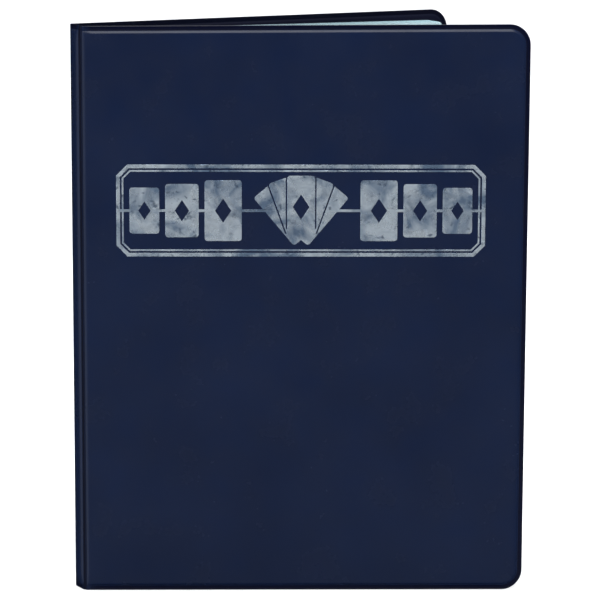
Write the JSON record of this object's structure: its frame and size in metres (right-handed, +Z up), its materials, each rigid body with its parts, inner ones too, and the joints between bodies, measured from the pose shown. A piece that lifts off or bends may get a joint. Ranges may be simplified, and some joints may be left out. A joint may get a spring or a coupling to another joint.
{
  "type": "trading card binder",
  "caption": "Bound pocket album for trading cards: padded vinyl covers on living hinges, foil-stamped front, clear pocket pages bound inside, standing open.",
  "frame": {"origin": "middle of the album's bounding box, on the surface it stands on", "axes": "+Z up along the fold lines, +X along the front cover from its fold to its free edge, +Y from the front cover towards the back cover"},
  "size_m": [0.2472, 0.129, 0.311],
  "materials": {
    "vinyl_navy": "satin",
    "vinyl_liner": "satin",
    "chipboard": "matte",
    "foil_silver": "metallic foil",
    "clear_film": "clear",
    "binding_strip": "satin"
  },
  "bodies": {
    "back_cover": {"back_cover_skin": "vinyl_navy", "back_cover_board": "chipboard", "back_cover_liner": "vinyl_liner"},
    "spine": {"spine_skin": "vinyl_navy", "spine_board": "chipboard", "spine_liner": "vinyl_liner", "front_hinge_web": "vinyl_navy", "back_hinge_web": "vinyl_navy", "binding_strip": "binding_strip"},
    "front_cover": {"front_cover_skin": "vinyl_navy", "front_cover_board": "chipboard", "front_cover_liner": "vinyl_liner", "foil_stamp": "foil_silver"},
    "page_01": {"page_01_back_web": "clear_film", "page_01_pocket_web": "clear_film"},
    "page_02": {"page_02_back_web": "clear_film", "page_02_pocket_web": "clear_film"},
    "page_03": {"page_03_back_web": "clear_film", "page_03_pocket_web": "clear_film"},
    "page_04": {"page_04_back_web": "clear_film", "page_04_pocket_web": "clear_film"},
    "page_05": {"page_05_back_web": "clear_film", "page_05_pocket_web": "clear_film"},
    "page_06": {"page_06_back_web": "clear_film", "page_06_pocket_web": "clear_film"},
    "page_07": {"page_07_back_web": "clear_film", "page_07_pocket_web": "clear_film"},
    "page_08": {"page_08_back_web": "clear_film", "page_08_pocket_web": "clear_film"},
    "page_09": {"page_09_back_web": "clear_film", "page_09_pocket_web": "clear_film"},
    "page_10": {"page_10_back_web": "clear_film", "page_10_pocket_web": "clear_film"}
  },
  "joints": [
    {"name": "back_hinge", "type": "hinge", "parent": "back_cover", "child": "spine", "pos_m": [-0.123, -0.05312, 0], "axis": [0, 0, 1], "range_deg": [-90, 0]},
    {"name": "front_hinge", "type": "hinge", "parent": "spine", "child": "front_cover", "pos_m": [-0.1174, -0.06317, 0], "axis": [0, 0, 1], "range_deg": [-60.9, 29.1]},
    {"name": "page_01_hinge", "type": "hinge", "parent": "spine", "child": "page_01", "pos_m": [-0.12003, -0.0533, 0], "axis": [0, 0, 1], "range_deg": [-17.26, 8.22]},
    {"name": "page_02_hinge", "type": "hinge", "parent": "spine", "child": "page_02", "pos_m": [-0.11961, -0.05407, 0], "axis": [0, 0, 1], "range_deg": [-17.58, 8.37]},
    {"name": "page_03_hinge", "type": "hinge", "parent": "spine", "child": "page_03", "pos_m": [-0.11919, -0.05482, 0], "axis": [0, 0, 1], "range_deg": [-17.91, 8.53]},
    {"name": "page_04_hinge", "type": "hinge", "parent": "spine", "child": "page_04", "pos_m": [-0.11876, -0.05559, 0], "axis": [0, 0, 1], "range_deg": [-18.24, 8.69]},
    {"name": "page_05_hinge", "type": "hinge", "parent": "spine", "child": "page_05", "pos_m": [-0.11834, -0.05635, 0], "axis": [0, 0, 1], "range_deg": [-18.56, 8.84]},
    {"name": "page_06_hinge", "type": "hinge", "parent": "spine", "child": "page_06", "pos_m": [-0.11792, -0.05711, 0], "axis": [0, 0, 1], "range_deg": [-18.89, 9]},
    {"name": "page_07_hinge", "type": "hinge", "parent": "spine", "child": "page_07", "pos_m": [-0.1175, -0.05787, 0], "axis": [0, 0, 1], "range_deg": [-19.22, 9.15]},
    {"name": "page_08_hinge", "type": "hinge", "parent": "spine", "child": "page_08", "pos_m": [-0.11707, -0.05863, 0], "axis": [0, 0, 1], "range_deg": [-19.54, 9.31]},
    {"name": "page_09_hinge", "type": "hinge", "parent": "spine", "child": "page_09", "pos_m": [-0.11665, -0.05939, 0], "axis": [0, 0, 1], "range_deg": [-19.87, 9.47]},
    {"name": "page_10_hinge", "type": "hinge", "parent": "spine", "child": "page_10", "pos_m": [-0.11623, -0.06015, 0], "axis": [0, 0, 1], "range_deg": [-20.19, 9.62]}
  ],
  "couplings": [
    {"joint": "page_01_hinge", "follows": "front_hinge", "ratio": 0.2818},
    {"joint": "page_02_hinge", "follows": "front_hinge", "ratio": 0.2871},
    {"joint": "page_03_hinge", "follows": "front_hinge", "ratio": 0.2925},
    {"joint": "page_04_hinge", "follows": "front_hinge", "ratio": 0.2978},
    {"joint": "page_05_hinge", "follows": "front_hinge", "ratio": 0.3032},
    {"joint": "page_06_hinge", "follows": "front_hinge", "ratio": 0.3085},
    {"joint": "page_07_hinge", "follows": "front_hinge", "ratio": 0.3139},
    {"joint": "page_08_hinge", "follows": "front_hinge", "ratio": 0.3192},
    {"joint": "page_09_hinge", "follows": "front_hinge", "ratio": 0.3246},
    {"joint": "page_10_hinge", "follows": "front_hinge", "ratio": 0.3299}
  ]
}
